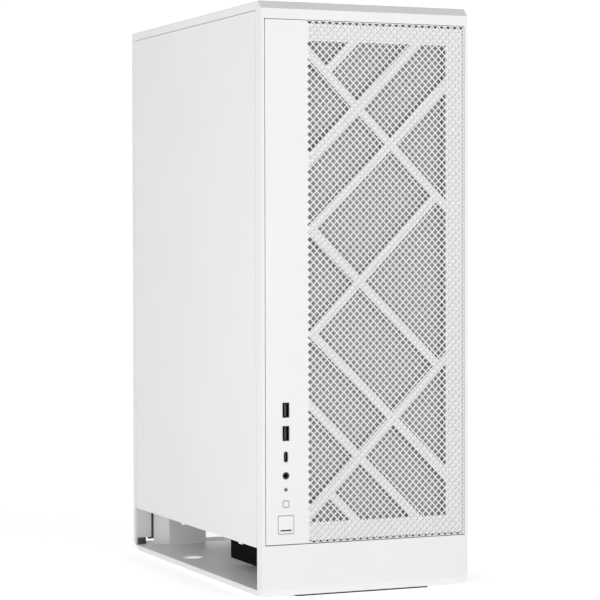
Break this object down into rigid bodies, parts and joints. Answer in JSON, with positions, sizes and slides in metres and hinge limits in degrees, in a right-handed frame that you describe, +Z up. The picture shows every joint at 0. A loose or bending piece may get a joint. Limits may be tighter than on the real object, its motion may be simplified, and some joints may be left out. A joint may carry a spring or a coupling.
{
  "type": "desktop computer tower",
  "caption": "Upright white desktop computer case with a perforated front over a diagonal lattice, an open air plinth with a fan, lift-off panels and working fans and buttons.",
  "frame": {"origin": "middle of the footprint, on the table the feet rest on", "axes": "+Z up, the front with its ports and buttons faces -Y, +X to the right as seen from the front"},
  "size_m": [0.202, 0.348, 0.524],
  "materials": {
    "activity_lamp": "clear light pipe",
    "audio_jack": "black plastic",
    "base_fan_frame": "black plastic",
    "base_fan_rotor": "black plastic",
    "base_plate": "satin white paint",
    "card_slot": "dark plastic",
    "chassis_floor": "satin white paint",
    "cooler_fan_frame": "black plastic",
    "cooler_fan_rotor": "grey plastic",
    "cooler_heatsink": "plain aluminium",
    "cpu_socket": "plain steel",
    "filter_cloth": "grey woven nylon",
    "filter_frame": "satin white plastic",
    "foot_strip_front": "black rubber",
    "foot_strip_rear": "black rubber",
    "front_bracket": "satin white paint",
    "front_fan_lower_frame": "black plastic",
    "front_fan_lower_rotor": "grey plastic",
    "front_fan_middle_frame": "black plastic",
    "front_fan_middle_rotor": "grey plastic",
    "front_fan_upper_frame": "black plastic",
    "front_fan_upper_rotor": "grey plastic",
    "front_lattice": "satin white paint",
    "front_panel": "satin white paint",
    "graphics_board": "dark circuit board, glass fibre and resin",
    "graphics_bracket": "plain steel",
    "graphics_heatsink": "plain aluminium",
    "graphics_rotor_front": "grey plastic",
    "graphics_rotor_rear": "grey plastic",
    "graphics_shroud": "dark plastic",
    "mains_inlet": "black plastic",
    "memory_module_1": "dark plastic",
    "memory_module_2": "dark plastic",
    "motherboard": "dark circuit board, glass fibre and resin",
    "motherboard_tray": "satin white paint",
    "outer_shell": "satin white paint",
    "port_board": "dark circuit board, glass fibre and resin",
    "power_button": "satin white plastic",
    "power_indicator": "black plastic",
    "psu_case": "dark painted steel",
    "psu_rotor": "grey plastic",
    "rear_column_left": "satin white paint",
    "rear_column_right": "satin white paint",
    "rear_fan_frame": "black plastic",
    "rear_fan_rotor": "grey plastic",
    "rear_panel": "satin white paint",
    "rear_port_block": "plain steel",
    "rear_port_shield": "plain steel",
    "reset_button": "satin white plastic",
    "side_panel_left": "satin white paint",
    "side_panel_right": "satin white paint",
    "slot_covers": "satin white paint",
    "solid_state_drive": "dark plastic",
    "switch_housing": "black plastic",
    "switch_rocker": "dark plastic",
    "top_bracket": "satin white paint",
    "top_panel": "satin white paint",
    "usb_a_lower": "plain steel",
    "usb_a_upper": "plain steel",
    "usb_c": "plain steel"
  },
  "bodies": {
    "case": {"activity_lamp": "activity_lamp", "audio_jack": "audio_jack", "base_fan_frame": "base_fan_frame", "base_plate": "base_plate", "card_slot": "card_slot", "chassis_floor": "chassis_floor", "cooler_fan_frame": "cooler_fan_frame", "cooler_heatsink": "cooler_heatsink", "cpu_socket": "cpu_socket", "foot_strip_front": "foot_strip_front", "foot_strip_rear": "foot_strip_rear", "front_bracket": "front_bracket", "front_fan_lower_frame": "front_fan_lower_frame", "front_fan_middle_frame": "front_fan_middle_frame", "front_fan_upper_frame": "front_fan_upper_frame", "graphics_board": "graphics_board", "graphics_bracket": "graphics_bracket", "graphics_heatsink": "graphics_heatsink", "graphics_shroud": "graphics_shroud", "mains_inlet": "mains_inlet", "memory_module_1": "memory_module_1", "memory_module_2": "memory_module_2", "motherboard": "motherboard", "motherboard_tray": "motherboard_tray", "outer_shell": "outer_shell", "port_board": "port_board", "psu_case": "psu_case", "rear_column_left": "rear_column_left", "rear_column_right": "rear_column_right", "rear_fan_frame": "rear_fan_frame", "rear_panel": "rear_panel", "rear_port_block": "rear_port_block", "rear_port_shield": "rear_port_shield", "slot_covers": "slot_covers", "solid_state_drive": "solid_state_drive", "switch_housing": "switch_housing", "top_bracket": "top_bracket", "usb_a_lower": "usb_a_lower", "usb_a_upper": "usb_a_upper", "usb_c": "usb_c"},
    "side_panel_left": {"side_panel_left": "side_panel_left"},
    "side_panel_right": {"side_panel_right": "side_panel_right"},
    "top_panel": {"top_panel": "top_panel"},
    "front_cover": {"front_panel": "front_panel", "front_lattice": "front_lattice", "filter_frame": "filter_frame", "filter_cloth": "filter_cloth"},
    "power_button": {"power_button": "power_button", "power_indicator": "power_indicator"},
    "reset_button": {"reset_button": "reset_button"},
    "switch_rocker": {"switch_rocker": "switch_rocker"},
    "base_fan_rotor": {"base_fan_rotor": "base_fan_rotor"},
    "cooler_fan_rotor": {"cooler_fan_rotor": "cooler_fan_rotor"},
    "front_fan_lower_rotor": {"front_fan_lower_rotor": "front_fan_lower_rotor"},
    "front_fan_middle_rotor": {"front_fan_middle_rotor": "front_fan_middle_rotor"},
    "front_fan_upper_rotor": {"front_fan_upper_rotor": "front_fan_upper_rotor"},
    "graphics_rotor_front": {"graphics_rotor_front": "graphics_rotor_front"},
    "graphics_rotor_rear": {"graphics_rotor_rear": "graphics_rotor_rear"},
    "psu_rotor": {"psu_rotor": "psu_rotor"},
    "rear_fan_rotor": {"rear_fan_rotor": "rear_fan_rotor"}
  },
  "joints": [
    {"name": "side_panel_left_pull", "type": "slide", "parent": "case", "child": "side_panel_left", "axis": [-1, 0, 0], "range_m": [0, 0.12]},
    {"name": "side_panel_right_pull", "type": "slide", "parent": "case", "child": "side_panel_right", "axis": [1, 0, 0], "range_m": [0, 0.12]},
    {"name": "top_panel_lift", "type": "slide", "parent": "case", "child": "top_panel", "axis": [0, 0, 1], "range_m": [0, 0.06]},
    {"name": "front_cover_pull", "type": "slide", "parent": "case", "child": "front_cover", "axis": [0, -1, 0], "range_m": [0, 0.1]},
    {"name": "power_button_press", "type": "slide", "parent": "case", "child": "power_button", "axis": [0, 1, 0], "range_m": [0, 0.0015], "stiffness_N_per_m": 900, "springref_m": -0.0007},
    {"name": "reset_button_press", "type": "slide", "parent": "case", "child": "reset_button", "axis": [0, 1, 0], "range_m": [0, 0.001], "stiffness_N_per_m": 900, "springref_m": -0.0007},
    {"name": "front_fan_lower_spin", "type": "hinge", "parent": "case", "child": "front_fan_lower_rotor", "pos_m": [0.011, -0.138, 0.1377], "axis": [0, 1, 0], "continuous": true},
    {"name": "front_fan_middle_spin", "type": "hinge", "parent": "case", "child": "front_fan_middle_rotor", "pos_m": [0.011, -0.138, 0.2777], "axis": [0, 1, 0], "continuous": true},
    {"name": "front_fan_upper_spin", "type": "hinge", "parent": "case", "child": "front_fan_upper_rotor", "pos_m": [0.011, -0.138, 0.4177], "axis": [0, 1, 0], "continuous": true},
    {"name": "base_fan_spin", "type": "hinge", "parent": "case", "child": "base_fan_rotor", "pos_m": [0, -0.083, 0.0285], "axis": [0, 0, 1], "continuous": true},
    {"name": "rear_fan_spin", "type": "hinge", "parent": "case", "child": "rear_fan_rotor", "pos_m": [-0.03, 0.1518, 0.395], "axis": [0, 1, 0], "continuous": true},
    {"name": "cooler_fan_spin", "type": "hinge", "parent": "case", "child": "cooler_fan_rotor", "pos_m": [-0.013, 0.046, 0.395], "axis": [0, 1, 0], "continuous": true},
    {"name": "psu_spin", "type": "hinge", "parent": "case", "child": "psu_rotor", "pos_m": [0, 0.0903, 0.0582], "axis": [0, 0, 1], "continuous": true},
    {"name": "graphics_front_spin", "type": "hinge", "parent": "case", "child": "graphics_rotor_front", "pos_m": [0.0075, -0.016, 0.23428], "axis": [0, 0, 1], "continuous": true},
    {"name": "graphics_rear_spin", "type": "hinge", "parent": "case", "child": "graphics_rotor_rear", "pos_m": [0.0075, 0.096, 0.23428], "axis": [0, 0, 1], "continuous": true},
    {"name": "mains_switch_rock", "type": "hinge", "parent": "case", "child": "switch_rocker", "pos_m": [-0.019, 0.1613, 0.089], "axis": [1, 0, 0], "range_deg": [-14, 0]}
  ]
}
